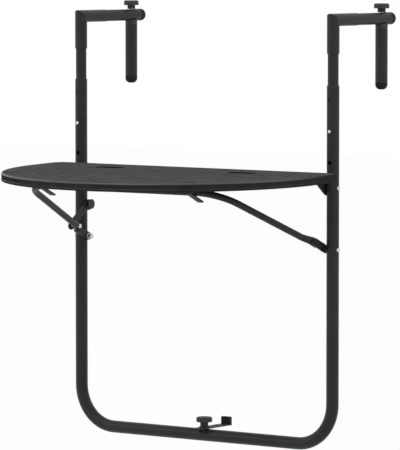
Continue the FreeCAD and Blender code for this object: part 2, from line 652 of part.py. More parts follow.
# Tabletop: straight sides, a half ellipse at the front, two long recesses
curve = doc.addObject("Part::Ellipse", "top_ellipse")
bind(curve, MajorRadius="max(top_front; %s)" % TOP_HALF, MinorRadius="min(top_front; %s)" % TOP_HALF)
bind(curve, **{"Placement.Rotation.Angle": "top_front > %s ? 90 : 0" % TOP_HALF})
place(curve, ("0", "%s - top_side" % TOP_REAR, UNDER))
oval = doc.addObject("Part::Extrusion", "top_oval")
oval.Base = curve
oval.DirMode = "Custom"
oval.Dir = FreeCAD.Vector(0, 0, 1)
oval.Solid = True
bind(oval, LengthFwd="top_thick")
rear_part = block("top_half_cut", ("4 * " + TOP_HALF, "2 * top_front", "4 * top_thick"),
                  ("-2 * " + TOP_HALF, "%s - top_side" % TOP_REAR, "%s - top_thick" % UNDER))
front_half = cut("top_half", oval, rear_part)
straight = block("top_straight", ("2 * " + TOP_HALF, "top_side", "top_thick"),
                 ("-" + TOP_HALF, "%s - top_side" % TOP_REAR, UNDER))
blank = fuse("top_blank", [front_half, straight])
doc.recompute()
top = doc.addObject("PartDesign::Body", "tabletop")
top.BaseFeature = blank
droop(top)
node(top, "tabletop")
doc.recompute()


def rear_corner(edge):
    box = edge.BoundBox
    return box.ZLength > number("top_thick") - 0.01 and abs(box.YMax - number(TOP_REAR)) < 0.01


def level_edge(height):
    def wanted(edge):
        box = edge.BoundBox
        return box.ZLength < 0.01 and abs(box.ZMax - number(height)) < 0.01
    return wanted


round_edges(top, "top_corners", "top_corner", rear_corner)
round_edges(top, "top_upper_edge", "top_edge", level_edge("(-top_level)"))
round_edges(top, "top_lower_edge", "top_edge_low", level_edge(UNDER))
for side in SIDES:
    near, far = [(mirror(side, "(recess_x %s recess_len / 2)" % sign), "(%s - recess_y)" % POST_Y)
                 for sign in "-+"]
    long_slot(top, "recess_" + side, "XY_Plane", "(-top_level)", near, far, "recess_w", "recess_depth")

# Screw places under the tabletop
bracket_screws = []
clip_screws = []
for side in SIDES:
    for step in range(2):
        away = "(%s - screw_first - %d * screw_pitch)" % (WEB_IN, step)
        bracket_screws.append((mirror(side, away), "(%s - (flange_front + flange_back) / 2)" % POST_Y))
        offset = "(clip_x + %d * clip_screw_x)" % (2 * step - 1)
        clip_screws.append((mirror(side, offset), "(%s - clip_screw_y)" % BAR_Y))
holes = sketch_on(top, "screw_holes", "XY_Plane", ("0", "0", UNDER))
for spot in bracket_screws + clip_screws:
    circle(holes, spot, "screw_d / 2")
pocket(top, "screw_hole_cut", holes, "screw_deep", reverse=True)


def screws(label, spots, plate):
    solids = []
    under = "(%s - %s)" % (UNDER, plate)
    for i, (x, y) in enumerate(spots):
        solids.append(rod("%s_shank_%d" % (label, i), "-z", "screw_d / 2", "screw_deep + %s" % plate,
                          (x, y, "%s + screw_deep" % UNDER)))
        solids.append(rod("%s_head_%d" % (label, i), "-z", "screw_head_d / 2", "screw_head_t",
                          (x, y, under)))
    droop(node(fuse(label, solids), label))


screws("bracket_screws", bracket_screws, "bracket_t")
screws("clip_screws", clip_screws, "(clip_roof - screw_head_t)")


def tongue_point(depth, along):
    # A point of the clip's tongue: depth from the bar's centre, distance along the slope
    return ("%s - (%s) * sin(tongue_tilt) + (%s) * cos(tongue_tilt)" % (BAR_Y, depth, along),
            "%s - (%s) * cos(tongue_tilt) - (%s) * sin(tongue_tilt)" % (BAR_Z, depth, along))


# Hinge brackets and the clips for the cross bar
for side in SIDES:
    bracket = new_body("hinge_bracket_" + side)
    droop(bracket)
    web_x = low_x(side, WEB_IN, WEB_OUT)
    web = sketch_on(bracket, "web_outline_" + side, "YZ_Plane", ("0", "0", web_x))
    polygon(web, [
        ("%s - bracket_front" % POST_Y, UNDER), ("%s - bracket_front" % POST_Y, "%s - bracket_t" % UNDER),
        ("%s - bracket_r * cos(tangent_deg)" % POST_Y, "%s - bracket_r * sin(tangent_deg)" % HINGE_Z),
        (POST_Y, HINGE_Z), (POST_Y, UNDER),
    ])
    pad(bracket, "web_" + side, web, "bracket_t")
    web = sketch_on(bracket, "web_round_" + side, "YZ_Plane", ("0", "0", web_x))
    circle(web, (POST_Y, HINGE_Z), "bracket_r")
    pad(bracket, "web_end_" + side, web, "bracket_t")
    flange = sketch_on(bracket, "flange_outline_" + side, "XY_Plane", ("0", "0", "%s - bracket_t" % UNDER))
    rectangle(flange, mirror(side, WEB_OUT), "%s - flange_front" % POST_Y,
              mirror(side, "(%s - flange_len)" % WEB_IN), "%s - flange_back" % POST_Y)
    pad(bracket, "flange_" + side, flange, "bracket_t")
    hole = sketch_on(bracket, "bracket_bolt_hole_" + side, "YZ_Plane")
    circle(hole, (POST_Y, HINGE_Z), "bolt_d / 2 + slide_gap")
    pocket(bracket, "bracket_bolt_cut_" + side, hole)
    holes = sketch_on(bracket, "bracket_screw_holes_" + side, "XY_Plane")
    for spot in bracket_screws[:2] if side == "left" else bracket_screws[2:]:
        circle(holes, spot, "screw_d / 2")
    pocket(bracket, "bracket_screw_cut_" + side, holes)

    clip = new_body("brace_clip_" + side)
    droop(clip)
    start = low_x(side, "(clip_x - clip_w / 2)", "(clip_x + clip_w / 2)")
    front = "%s - clip_front" % BAR_Y
    step = "%s - bar_d / 2 - clip_gap" % BAR_Y
    back = "%s + clip_back" % BAR_Y
    lip = "%s - clip_lip" % UNDER
    outline = sketch_on(clip, "clip_outline_" + side, "YZ_Plane", ("0", "0", start))
    polygon(outline, [(front, UNDER), (front, CLIP_ROOF), (step, CLIP_ROOF),
                      (step, lip), (back, lip), (back, UNDER)])
    pad(clip, "clip_pad_" + side, outline, "clip_w")
    upper = "bar_d / 2 + clip_gap"
    lower = "bar_d / 2 + clip_gap + tongue_t"
    root = "(%s - %s - (%s) * cos(tongue_tilt)) / sin(tongue_tilt)" % (BAR_Z, CLIP_ROOF, lower)
    outline = sketch_on(clip, "tongue_outline_" + side, "YZ_Plane", ("0", "0", start))
    polygon(outline, [tongue_point(upper, root), tongue_point(lower, root),
                      tongue_point(lower, "tongue_tip"), tongue_point(upper, "tongue_tip")])
    pad(clip, "clip_tongue_" + side, outline, "tongue_w")
    spots = clip_screws[:2] if side == "left" else clip_screws[2:]
    holes = sketch_on(clip, "clip_screw_holes_" + side, "XY_Plane")
    for spot in spots:
        circle(holes, spot, "screw_d / 2")
    pocket(clip, "clip_screw_cut_" + side, holes)
    holes = sketch_on(clip, "clip_head_holes_" + side, "XY_Plane", ("0", "0", CLIP_ROOF))
    for spot in spots:
        circle(holes, spot, "screw_head_d / 2 + slide_gap")
    pocket(clip, "clip_head_cut_" + side, holes, "screw_head_t", reverse=True)

# Brace tube, drawn flat and tilted about its pivot line
brace = doc.addObject("PartDesign::Body", "brace_tube")
brace.Placement = FreeCAD.Placement(FreeCAD.Vector(), FreeCAD.Rotation(FreeCAD.Vector(1, 0, 0), -10))
bind(brace, **{"Placement.Rotation.Angle": "-%s" % BRACE_TILT})
place(brace, ("0", POST_Y, PIVOT_Z))
node(brace, "brace_tube")
leg_x = "(%s - leg_offset)" % TAB_IN
splay = "atan((%s - bar_half) / (%s - round_start))" % (leg_x, BRACE_LEN)
cut_back = "(bar_bend * tan((90 deg - %s) / 2))" % splay
leg_turn = ("(bar_half + %s * sin(%s))" % (cut_back, splay),
            "(%s * cos(%s) - %s)" % (cut_back, splay, BRACE_LEN))
bar_turn = ("(bar_half - %s)" % cut_back, "(-%s)" % BRACE_LEN)
path = sketch_on(brace, "brace_path", "XY_Plane")
bent_path(path, [
    ("(-%s)" % leg_x, "(-round_start)"), ("(-%s)" % leg_turn[0], leg_turn[1]),
    ("(-%s)" % bar_turn[0], bar_turn[1]), bar_turn,
    leg_turn, (leg_x, "(-round_start)"),
], [("(-%s)" % bar_turn[0], "(bar_bend - %s)" % BRACE_LEN), (bar_turn[0], "(bar_bend - %s)" % BRACE_LEN)])


def leg_section(name, side):
    # A plane square to the leg where its round part starts
    sketch = sketch_on(brace, name, "XZ_Plane", (mirror(side, leg_x), "0", "round_start"))
    turn = FreeCAD.Rotation(FreeCAD.Vector(0, 1, 0), 10 if side == "left" else -10)
    sketch.AttachmentOffset = FreeCAD.Placement(sketch.AttachmentOffset.Base, turn)
    sketch.setExpression("AttachmentOffset.Rotation.Angle", full(splay))
    return sketch


ring = leg_section("brace_ring", "left")
for radius in ("bar_d / 2", "bar_d / 2 - bar_wall"):
    circle(ring, ("0", "0"), radius)
sweep(brace, "brace_sweep", ring, path)
for side in SIDES:
    flat_x = low_x(side, "(%s - flat_t)" % TAB_IN, TAB_IN)
    plate = sketch_on(brace, "flat_outline_" + side, "YZ_Plane", ("0", "0", flat_x))
    rectangle(plate, "(-flat_start)", "-flat_w / 2", "(-flat_end)", "flat_w / 2")
    pad(brace, "flat_" + side, plate, "flat_t")
    near = sketch_on(brace, "loft_flat_" + side, "XZ_Plane", ("0", "0", "flat_end"))
    upright_ellipse(near, ("(%s + flat_t / 2)" % flat_x, "0"), "flat_w / 2", "flat_t / 2")
    far = leg_section("loft_round_" + side, side)
    circle(far, ("0", "0"), "bar_d / 2")
    loft = brace.newObject("PartDesign::AdditiveLoft", "loft_" + side)
    loft.Profile = near
    loft.Sections = [far]
    brace.Tip = loft
holes = sketch_on(brace, "brace_rivet_holes", "YZ_Plane")
circle(holes, ("(-tab_len)", "0"), "tab_rivet_d / 2")
pocket(brace, "brace_rivet_cut", holes)
hole = sketch_on(brace, "link_rivet_hole", "YZ_Plane", ("0", "0", "(-%s)" % POST_X))
circle(hole, ("(-lock_along)", "0"), "rivet_d / 2")
pocket(brace, "link_rivet_cut", hole, "tube_d + leg_offset + bar_d", reverse=True)

# Pivot tabs riveted to the flat ends of the brace
rivets = []
for side in SIDES:
    tab = strap("brace_tab_" + side, low_x(side, TAB_IN, TAB_OUT), "tab_t", "tab_w", "(-tab_len)",
                "-%s" % BRACE_TILT, (POST_Y, PIVOT_Z))
    hole = sketch_on(tab, "tab_pivot_hole_" + side, "YZ_Plane")
    circle(hole, ("0", "0"), "bolt_d / 2 + slide_gap")
    pocket(tab, "tab_pivot_cut_" + side, hole)
    hole = sketch_on(tab, "tab_rivet_hole_" + side, "YZ_Plane")
    circle(hole, ("(-tab_len)", "0"), "tab_rivet_d / 2")
    pocket(tab, "tab_rivet_cut_" + side, hole)
    away = "x" if side == "right" else "-x"
    rivet_y = "%s - tab_len * cos(%s)" % (POST_Y, BRACE_TILT)
    rivet_z = "%s + tab_len * sin(%s)" % (PIVOT_Z, BRACE_TILT)
    inner_x = "(%s - flat_t)" % TAB_IN
    rivets.append(rod("tab_rivet_shank_" + side, away, "tab_rivet_d / 2", "tab_t + flat_t",
                      (mirror(side, inner_x), rivet_y, rivet_z)))
    rivets.append(rod("tab_rivet_inner_" + side, away, "rivet_head_d / 2", "rivet_head_t",
                      (mirror(side, "(%s - rivet_head_t)" % inner_x), rivet_y, rivet_z)))
    rivets.append(rod("tab_rivet_outer_" + side, away, "rivet_head_d / 2", "rivet_head_t",
                      (mirror(side, TAB_OUT), rivet_y, rivet_z)))
node(fuse("brace_rivets", rivets), "brace_rivets")

# Lock link with its rivet, threaded insert, stud and knob on the left post
link = strap("lock_link", "(-%s)" % LINK_OUT, "link_t", "link_w", LINK_LEN, LINK_TILT, (LINK_Y, LINK_Z))
hole = sketch_on(link, "link_hole", "YZ_Plane")
circle(hole, ("0", "0"), "rivet_d / 2 + slide_gap")
pocket(link, "link_hole_cut", hole)
lobe = sketch_on(link, "link_lobe_outline", "YZ_Plane")
circle(lobe, (LINK_LEN, "(-lobe_drop)"), "lobe_d / 2")
pad(link, "link_lobe", lobe, "link_t")
notch = sketch_on(link, "link_notch", "YZ_Plane")
circle(notch, (LINK_LEN, "0"), "notch_w / 2")
pocket(link, "link_notch_cut", notch)
mouth = sketch_on(link, "link_mouth", "YZ_Plane")
side_y = "(notch_w / 2 * sin(notch_deg))"
side_z = "(notch_w / 2 * cos(notch_deg))"
out_y = "(lobe_d * cos(notch_deg))"
out_z = "(lobe_d * sin(notch_deg))"
polygon(mouth, [
    ("%s - %s" % (LINK_LEN, side_y), "-%s" % side_z),
    ("%s - %s + %s" % (LINK_LEN, side_y, out_y), "-%s - %s" % (side_z, out_z)),
    ("%s + %s + %s" % (LINK_LEN, side_y, out_y), "%s - %s" % (side_z, out_z)),
    ("%s + %s" % (LINK_LEN, side_y), side_z),
])
pocket(link, "link_mouth_cut", mouth)
rivet_end = "(%s + slide_gap)" % LINK_OUT
leg_past = "(lock_along + rivet_head_d / 2 - round_start)"
head_x = "(%s - %s * tan(%s) - bar_d / 2 / cos(%s))" % (leg_x, leg_past, splay, splay)
shoulder_x = "(%s - flat_t + slide_gap)" % TAB_IN
node(fuse("lock_rivet", [
    rod("lock_rivet_shank", "x", "rivet_d / 2", "%s - %s" % (rivet_end, head_x),
        ("(-%s)" % rivet_end, LINK_Y, LINK_Z)),
    rod("lock_rivet_shoulder", "x", "shoulder_d / 2", "%s - slide_gap - %s" % (LINK_IN, shoulder_x),
        ("(slide_gap - %s)" % LINK_IN, LINK_Y, LINK_Z)),
    rod("lock_rivet_outer", "-x", "rivet_head_d / 2", "rivet_head_t", ("(-%s)" % rivet_end, LINK_Y, LINK_Z)),
    rod("lock_rivet_inner", "x", "rivet_head_d / 2", "rivet_head_t", ("(-%s)" % head_x, LINK_Y, LINK_Z)),
]), "lock_rivet")
turned("lock_insert", "x", ("(-%s)" % POST_IN, POST_Y, LOCK_Z), [
    ("lock_stud_d / 2 + slide_gap", "(-lock_barrel)"), ("lock_barrel_d / 2", "(-lock_barrel)"),
    ("lock_barrel_d / 2", "0"), ("lock_flange_d / 2", "0"),
    ("lock_flange_d / 2", "(%s - %s - 2 * slide_gap)" % (POST_IN, LINK_OUT)),
    ("lock_stud_d / 2 + slide_gap", "(%s - %s - 2 * slide_gap)" % (POST_IN, LINK_OUT)),
])
lock_top = "(lock_neck + lock_head_t)"
lock_inside = "(lock_neck + lock_head_t / 2)"
knob = turned("lock_knob", "x", ("(-%s + link_gap)" % LINK_IN, POST_Y, LOCK_Z), [
    ("lock_stud_d / 2", "0"), ("lock_neck_d / 2", "0"), ("lock_neck_top_d / 2", "lock_neck"),
    ("lock_head_d / 2", "lock_neck"), ("lock_head_d / 2", lock_top), ("0", lock_top),
    ("0", lock_inside), ("lock_stud_d / 2", lock_inside),
])
round_edges(knob, "lock_knob_top_edge", "lock_edge", rim("lock_head_d / 2", lock_top))
round_edges(knob, "lock_knob_low_edge", "lock_edge", rim("lock_head_d / 2", "lock_neck"))
node(rod("lock_screw", "x", "lock_stud_d / 2",
         "%s + lock_stud_in - %s + link_gap + %s" % (POST_IN, LINK_IN, lock_inside),
         ("(-%s - lock_stud_in)" % POST_IN, POST_Y, LOCK_Z)), "lock_screw")

# Bolts, nuts, spacer rings and washers through the posts
hinge_bolts = []
hinge_nuts = []
brace_bolts = []
brace_nuts = []
rings = []
washers = []
for side in SIDES:
    away = "x" if side == "right" else "-x"
    stacks = (
        ("hinge", HINGE_Z, "(%s - slide_gap)" % WEB_IN, hinge_bolts, hinge_nuts),
        ("brace", PIVOT_Z, WASHER_IN, brace_bolts, brace_nuts),
    )
    for name, level, seat, bolts, nuts in stacks:
        inner_end = "(%s - nut_t - bolt_end)" % seat
        bolts.append(rod("%s_shank_%s" % (name, side), away, "bolt_d / 2",
                         "%s - %s" % (POST_OUT, inner_end), (mirror(side, inner_end), POST_Y, level)))
        bolts.append(hexagon("%s_head_%s" % (name, side), away, "head_d / 2", "head_t",
                             (mirror(side, POST_OUT), POST_Y, level)))
        nut = hexagon("%s_nut_%s" % (name, side), away, "nut_d / 2", "nut_t",
                      (mirror(side, "(%s - nut_t)" % seat), POST_Y, level))
        bore = rod("%s_nut_bore_%s" % (name, side), away, "bolt_d / 2", "nut_t",
                   (mirror(side, "(%s - nut_t)" % seat), POST_Y, level))
        nuts.append(cut("%s_nut_bored_%s" % (name, side), nut, bore))
    for name, near, thick, pieces in (("ring", "(%s - spacer_ring_t)" % POST_IN, "spacer_ring_t", rings),
                                      ("washer", WASHER_IN, "washer_t", washers)):
        spot = (mirror(side, near), POST_Y, PIVOT_Z)
        disc = rod("%s_disc_%s" % (name, side), away, "washer_d / 2", thick, spot)
        bore = rod("%s_bore_%s" % (name, side), away, "bolt_d / 2", thick, spot)
        pieces.append(cut("%s_bored_%s" % (name, side), disc, bore))
for label, pieces in (("hinge_bolts", hinge_bolts), ("hinge_nuts", hinge_nuts),
                      ("brace_bolts", brace_bolts), ("brace_nuts", brace_nuts),
                      ("brace_spacer_rings", rings), ("brace_washers", washers)):
    node(fuse(label, pieces), label)

# Spacer at the bottom bar: slotted bar, rubber cap, screw and knob
bar = new_body("spacer_bar")
flat = sketch_on(bar, "spacer_outline", "XY_Plane", ("0", "0", SPACER_Z))
rectangle(flat, "-spacer_w / 2", "%s - spacer_front" % POST_Y, "spacer_w / 2", SPACER_END)
pad(bar, "spacer_flat", flat, "spacer_t")
inner_w = "(spacer_w / 2 - pad_wall)"
up = sketch_on(bar, "spacer_up_outline", "XY_Plane", ("0", "0", SPACER_Z))
rectangle(up, "-" + inner_w, "%s - spacer_t" % SPACER_END, inner_w, SPACER_END)
pad(bar, "spacer_up_end", up, "spacer_up")
slot = sketch_on(bar, "spacer_slot", "XY_Plane")
rectangle(slot, "-slot_w / 2", "%s - spacer_slot_front" % POST_Y,
          "slot_w / 2", "%s + spacer_slot_back" % POST_Y)
pocket(bar, "spacer_slot_cut", slot)

rubber = new_body("spacer_pad")
outline = sketch_on(rubber, "pad_outline", "XY_Plane", ("0", "0", SPACER_TOP))
rectangle(outline, "-spacer_w / 2", "%s - spacer_t - pad_wall" % SPACER_END,
          "spacer_w / 2", "%s + pad_back" % SPACER_END)
pad(rubber, "pad_block", outline, "spacer_up - spacer_t + pad_top")
outline = sketch_on(rubber, "pad_rear_outline", "XY_Plane", ("0", "0", "%s - pad_low" % SPACER_Z))
rectangle(outline, "-spacer_w / 2", SPACER_END, "spacer_w / 2", "%s + pad_back" % SPACER_END)
pad(rubber, "pad_rear", outline, "spacer_t + pad_low")
hollow = sketch_on(rubber, "pad_hollow", "XY_Plane", ("0", "0", SPACER_TOP))
rectangle(hollow, "-" + inner_w, "%s - spacer_t" % SPACER_END, inner_w, SPACER_END)
pocket(rubber, "pad_hollow_cut", hollow, "spacer_up - spacer_t", reverse=True)


def pad_rim(edge):
    box = edge.BoundBox
    return box.ZLength < 0.01 and abs(box.ZMax - number("%s + spacer_up + pad_top" % SPACER_Z)) < 0.01


round_edges(rubber, "pad_edges", "pad_edge", pad_rim)

turned("bottom_insert", "z", ("0", POST_Y, "-bottom_bar + tube_d / 2 - base_insert_len"), [
    ("stud_d / 2 + slide_gap", "0"), ("base_insert_d / 2", "0"),
    ("base_insert_d / 2", "base_insert_len"), ("stud_d / 2 + slide_gap", "base_insert_len"),
])
grip = turned("spacer_knob", "z", ("0", POST_Y, "%s + slide_gap" % SPACER_TOP), [
    ("stud_d / 2", "0"), ("base_foot_d / 2", "0"), ("base_foot_d / 2", "base_foot_t"),
    ("neck_d / 2", "base_foot_t"), ("neck_d / 2", "base_neck"),
    ("base_knob_d / 2", "base_neck"), ("base_knob_d / 2", "(base_neck + knob_t)"),
    ("0", "(base_neck + knob_t)"), ("0", "(base_neck + knob_t / 2)"),
    ("stud_d / 2", "(base_neck + knob_t / 2)"),
])
round_edges(grip, "spacer_knob_top_edge", "knob_edge", rim("base_knob_d / 2", "base_neck + knob_t"))
round_edges(grip, "spacer_knob_low_edge", "knob_under", rim("base_knob_d / 2", "base_neck"))
node(rod("spacer_screw", "z", "stud_d / 2",
         "base_insert_len + 2 * slide_gap + spacer_t + base_neck + knob_t / 2",
         ("0", POST_Y, "-bottom_bar + tube_d / 2 - base_insert_len")), "spacer_screw")

# Every piece has to be sound before anything is written
doc.recompute()
for obj in doc.Objects:
    if "Invalid" in obj.State or "Error" in obj.State:
        raise RuntimeError("%s is in state %s" % (obj.Name, obj.State))
for obj in NODES:
    if obj.Shape.isNull() or not obj.Shape.isValid() or not obj.Shape.Solids:
        raise RuntimeError("%s has no sound shape" % obj.Label)
os.makedirs("parts", exist_ok=True)
for obj in NODES:
    obj.Shape.exportStep("parts/%s.step" % obj.Label)
print("%d nodes" % len(NODES))
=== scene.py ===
"""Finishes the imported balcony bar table, moulds its tabletop, and sets floor, light and camera."""

import json
import math

import bmesh
import bpy
from mathutils import Matrix, Vector


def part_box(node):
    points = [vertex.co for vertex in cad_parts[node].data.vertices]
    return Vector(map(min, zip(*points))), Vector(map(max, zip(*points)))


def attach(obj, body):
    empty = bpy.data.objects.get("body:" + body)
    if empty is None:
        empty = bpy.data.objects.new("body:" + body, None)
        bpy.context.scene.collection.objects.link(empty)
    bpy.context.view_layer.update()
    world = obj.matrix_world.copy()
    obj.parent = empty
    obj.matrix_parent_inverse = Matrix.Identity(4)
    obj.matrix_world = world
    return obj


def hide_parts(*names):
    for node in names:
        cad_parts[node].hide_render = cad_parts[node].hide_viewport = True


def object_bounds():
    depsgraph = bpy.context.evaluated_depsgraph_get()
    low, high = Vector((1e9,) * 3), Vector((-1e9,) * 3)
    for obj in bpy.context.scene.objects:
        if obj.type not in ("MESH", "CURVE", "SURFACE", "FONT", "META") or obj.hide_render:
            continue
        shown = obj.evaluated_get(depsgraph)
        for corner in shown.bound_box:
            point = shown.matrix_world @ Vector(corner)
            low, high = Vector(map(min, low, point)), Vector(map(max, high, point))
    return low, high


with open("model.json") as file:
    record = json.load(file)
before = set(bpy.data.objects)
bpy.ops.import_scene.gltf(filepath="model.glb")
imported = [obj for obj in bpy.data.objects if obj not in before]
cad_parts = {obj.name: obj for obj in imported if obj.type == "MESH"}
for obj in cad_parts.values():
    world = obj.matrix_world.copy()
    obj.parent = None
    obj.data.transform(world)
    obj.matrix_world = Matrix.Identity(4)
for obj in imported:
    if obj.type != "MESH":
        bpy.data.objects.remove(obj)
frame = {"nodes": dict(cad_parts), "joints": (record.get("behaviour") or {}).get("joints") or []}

bl_info = {
    "name": "Balcony Bar Table",
    "version": (1, 0, 0),
    "blender": (4, 5, 0),
    "location": "3D View > Sidebar > Bar Table",
    "description": "Finishes, moulded tabletop and studio for the packed balcony bar table",
    "category": "Object",
}

CAD_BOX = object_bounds()
MM = 0.001
SIDES = ("left", "right")

# Material slots of the tabletop; the slot of the recess walls carries painted shade
FACE, RIM, RECESS_WALL_SHADE = range(3)
# How round a strand of the weave is, across and along it, on top of the others and below them
STRAND_ABOVE, STRAND_BELOW = (1.0, 0.3), (0.9, 0.5)
# Height of a strand below, as a share of one on top
LOWER_STRAND = 0.85
# Edges from this angle on are shaded sharp
SHARP_ANGLE = math.radians(35)

# Studio, in metres, and the camera's sensor in millimetres
WHITE = (1, 1, 1, 1)
LAMP_TARGET = Vector((0, -0.1, -0.4))
FLOOR_HALF_WIDTH = 12
FLOOR_WHITENESS = 0.97
SENSOR_WIDTH = 36
CAMERA_REACH = 50


class TableSizes(bpy.types.PropertyGroup):
    """Sizes of the moulded tabletop and its texture"""

    rear_edge: bpy.props.FloatProperty(
        name="Rear edge", description="Rear edge of the tabletop along Y, drawn level",
        default=-34.3 * MM, min=-100 * MM, max=0, unit="LENGTH")
    side_length: bpy.props.FloatProperty(
        name="Straight side", description="Length of the straight sides behind the half ellipse",
        default=82 * MM, min=20 * MM, max=200 * MM, unit="LENGTH")
    front_depth: bpy.props.FloatProperty(
        name="Front depth", description="Depth of the half ellipse at the front",
        default=288.5 * MM, min=100 * MM, max=400 * MM, unit="LENGTH")
    corner_radius: bpy.props.FloatProperty(
        name="Corner radius", description="Radius of the rear corners in plan",
        default=25 * MM, min=2 * MM, max=60 * MM, unit="LENGTH")
    surface: bpy.props.FloatProperty(
        name="Surface", description="Height of the tabletop's surface, drawn level",
        default=-265.6 * MM, min=-400 * MM, max=0, unit="LENGTH")
    thickness: bpy.props.FloatProperty(
        name="Thickness", description="Thickness of the tabletop",
        default=15.2 * MM, min=8 * MM, max=30 * MM, unit="LENGTH")
    droop: bpy.props.FloatProperty(
        name="Slope", description="Slope of the tabletop down to the front",
        default=math.radians(1.5), min=0, max=math.radians(5), unit="ROTATION")
    rim_radius: bpy.props.FloatProperty(
        name="Upper rim radius", description="Rounding of the tabletop's upper edge",
        default=3 * MM, min=0.5 * MM, max=5 * MM, unit="LENGTH")
    foot_radius: bpy.props.FloatProperty(
        name="Lower rim radius", description="Rounding of the tabletop's lower edge",
        default=1.6 * MM, min=0.2 * MM, max=3 * MM, unit="LENGTH")
    bead: bpy.props.FloatProperty(
        name="Rim bead", description="How far the rim stands back above its lower bead",
        default=0.7 * MM, min=0, max=2 * MM, unit="LENGTH")
    recess_reach: bpy.props.FloatProperty(
        name="Recess reach", description="Half the distance between a recess's round ends",
        default=19 * MM, min=0, max=60 * MM, unit="LENGTH")
    recess_radius: bpy.props.FloatProperty(
        name="Recess radius", description="Radius of the recesses' round ends",
        default=11 * MM, min=4 * MM, max=60 * MM, unit="LENGTH")
    recess_depth: bpy.props.FloatProperty(
        name="Recess depth", description="Depth of the recesses",
        default=2.5 * MM, min=0.5 * MM, max=6 * MM, unit="LENGTH")
    recess_centre: bpy.props.FloatVectorProperty(
        name="Recess centre", description="Centre of the right recess in plan",
        default=(0.153, -0.1025), size=2, unit="LENGTH")
    weave_pitch: bpy.props.FloatProperty(
        name="Weave pitch", description="Width of one strand of the moulded weave",
        default=11 * MM, min=2 * MM, max=20 * MM, unit="LENGTH")


class TableColours(bpy.types.PropertyGroup):
    """Colours of the finishes"""

    paint: bpy.props.FloatVectorProperty(
        name="Powder coat", description="Colour of the coated tubes and sheet parts",
        default=(0.028, 0.029, 0.031), size=3, min=0, max=1, subtype="COLOR")
    weave: bpy.props.FloatVectorProperty(
        name="Tabletop", description="Colour of the moulded tabletop",
        default=(0.096, 0.096, 0.094), size=3, min=0, max=1, subtype="COLOR")
    # Darker than the face, though the rim is the same moulding: painted shade on the rim
    rim: bpy.props.FloatVectorProperty(
        name="Tabletop rim", description="Colour of the rim of the tabletop",
        default=(0.038, 0.038, 0.038), size=3, min=0, max=1, subtype="COLOR")
    # Also given to the recess walls of the tabletop, where it is painted shade
    plastic: bpy.props.FloatVectorProperty(
        name="Black plastic", description="Colour of knobs, bushes, saddles and clips",
        default=(0.010, 0.010, 0.011), size=3, min=0, max=1, subtype="COLOR")
    caps: bpy.props.FloatVectorProperty(
        name="End caps", description="Colour of the plastic caps on the arms and pegs",
        default=(0.026, 0.027, 0.029), size=3, min=0, max=1, subtype="COLOR")
    zinc: bpy.props.FloatVectorProperty(
        name="Zinc", description="Colour of the plated bolts, nuts and screws",
        default=(0.62, 0.62, 0.60), size=3, min=0, max=1, subtype="COLOR")
    rubber: bpy.props.FloatVectorProperty(
        name="Rubber", description="Colour of the spacer's rubber cap",
        default=(0.016, 0.016, 0.016), size=3, min=0, max=1, subtype="COLOR")
    floor: bpy.props.FloatVectorProperty(
        name="Floor", description="Colour of the studio floor",
        default=(0.85, 0.85, 0.85), size=3, min=0, max=1, subtype="COLOR")


class StudioSettings(bpy.types.PropertyGroup):
    """Camera and lamps"""

    camera_place: bpy.props.FloatVectorProperty(
        name="Camera", description="Place of the camera",
        default=(4.4743, -6.0716, 0.1660), size=3, unit="LENGTH")
    camera_target: bpy.props.FloatVectorProperty(
        name="Target", description="Point in the middle of the picture",
        default=(-0.0064, -0.0163, -0.3753), size=3, unit="LENGTH")
    lens: bpy.props.FloatProperty(
        name="Lens", description="Focal length on a 36 mm sensor, in millimetres",
        default=323.0, min=20, max=600)
    key_power: bpy.props.FloatProperty(
        name="Key light", description="Power of the softbox on the right in watts",
        default=24, min=0, max=500)
    fill_power: bpy.props.FloatProperty(
        name="Fill light", description="Power of the softbox on the left in watts",
        default=18, min=0, max=500)
    top_power: bpy.props.FloatProperty(
        name="Top light", description="Power of the softbox above in watts",
        default=16, min=0, max=500)
    floor_drop: bpy.props.FloatProperty(
        name="Floor", description="Depth of the floor below the bottom bar of the hanging table",
        default=0.25, min=0, max=1.5, unit="LENGTH")
    world_strength: bpy.props.FloatProperty(
        name="Sky strength", description="Strength of the even light from all round",
        default=0.38, min=0, max=2)


# Node helpers


def new_material(name, colour, roughness, metallic=0.0, specular=0.5):
    material = bpy.data.materials.new(name)
    material.use_nodes = True
    shader = material.node_tree.nodes["Principled BSDF"]
    shader.inputs["Base Color"].default_value = (*colour, 1)
    shader.inputs["Roughness"].default_value = roughness
    shader.inputs["Metallic"].default_value = metallic
    shader.inputs["Specular IOR Level"].default_value = specular
    return material, material.node_tree, shader


def add_node(tree, kind, **inputs):
    node = tree.nodes.new(kind)
    for name, value in inputs.items():
        node.inputs[name.replace("_", " ")].default_value = value
    return node


def noise(tree, place, scale, detail):
    """Noise with that many grains per metre"""
    node = add_node(tree, "ShaderNodeTexNoise", Scale=scale, Detail=detail)
    tree.links.new(place, node.inputs["Vector"])
    return node.outputs["Fac"]


def object_place(tree):
    return tree.nodes.new("ShaderNodeTexCoord").outputs["Object"]


def spread(tree, value, low, high, start=0.3, end=0.7):
    """Maps start..end of a value, by default the middle of a noise, onto low..high"""
    node = add_node(tree, "ShaderNodeMapRange")
    node.inputs["From Min"].default_value = start
    node.inputs["From Max"].default_value = end
    node.inputs["To Min"].default_value = low
    node.inputs["To Max"].default_value = high
    tree.links.new(value, node.inputs["Value"])
    return node.outputs["Result"]


def tint(tree, value, colour, darker, lighter):
    """Colour between a darker and a lighter shade of the base colour"""
    node = tree.nodes.new("ShaderNodeMix")
    node.data_type = "RGBA"
    node.inputs["A"].default_value = (*[c * darker for c in colour], 1)
    node.inputs["B"].default_value = (*[min(1, c * lighter) for c in colour], 1)
    tree.links.new(value, node.inputs["Factor"])
    return node.outputs["Result"]


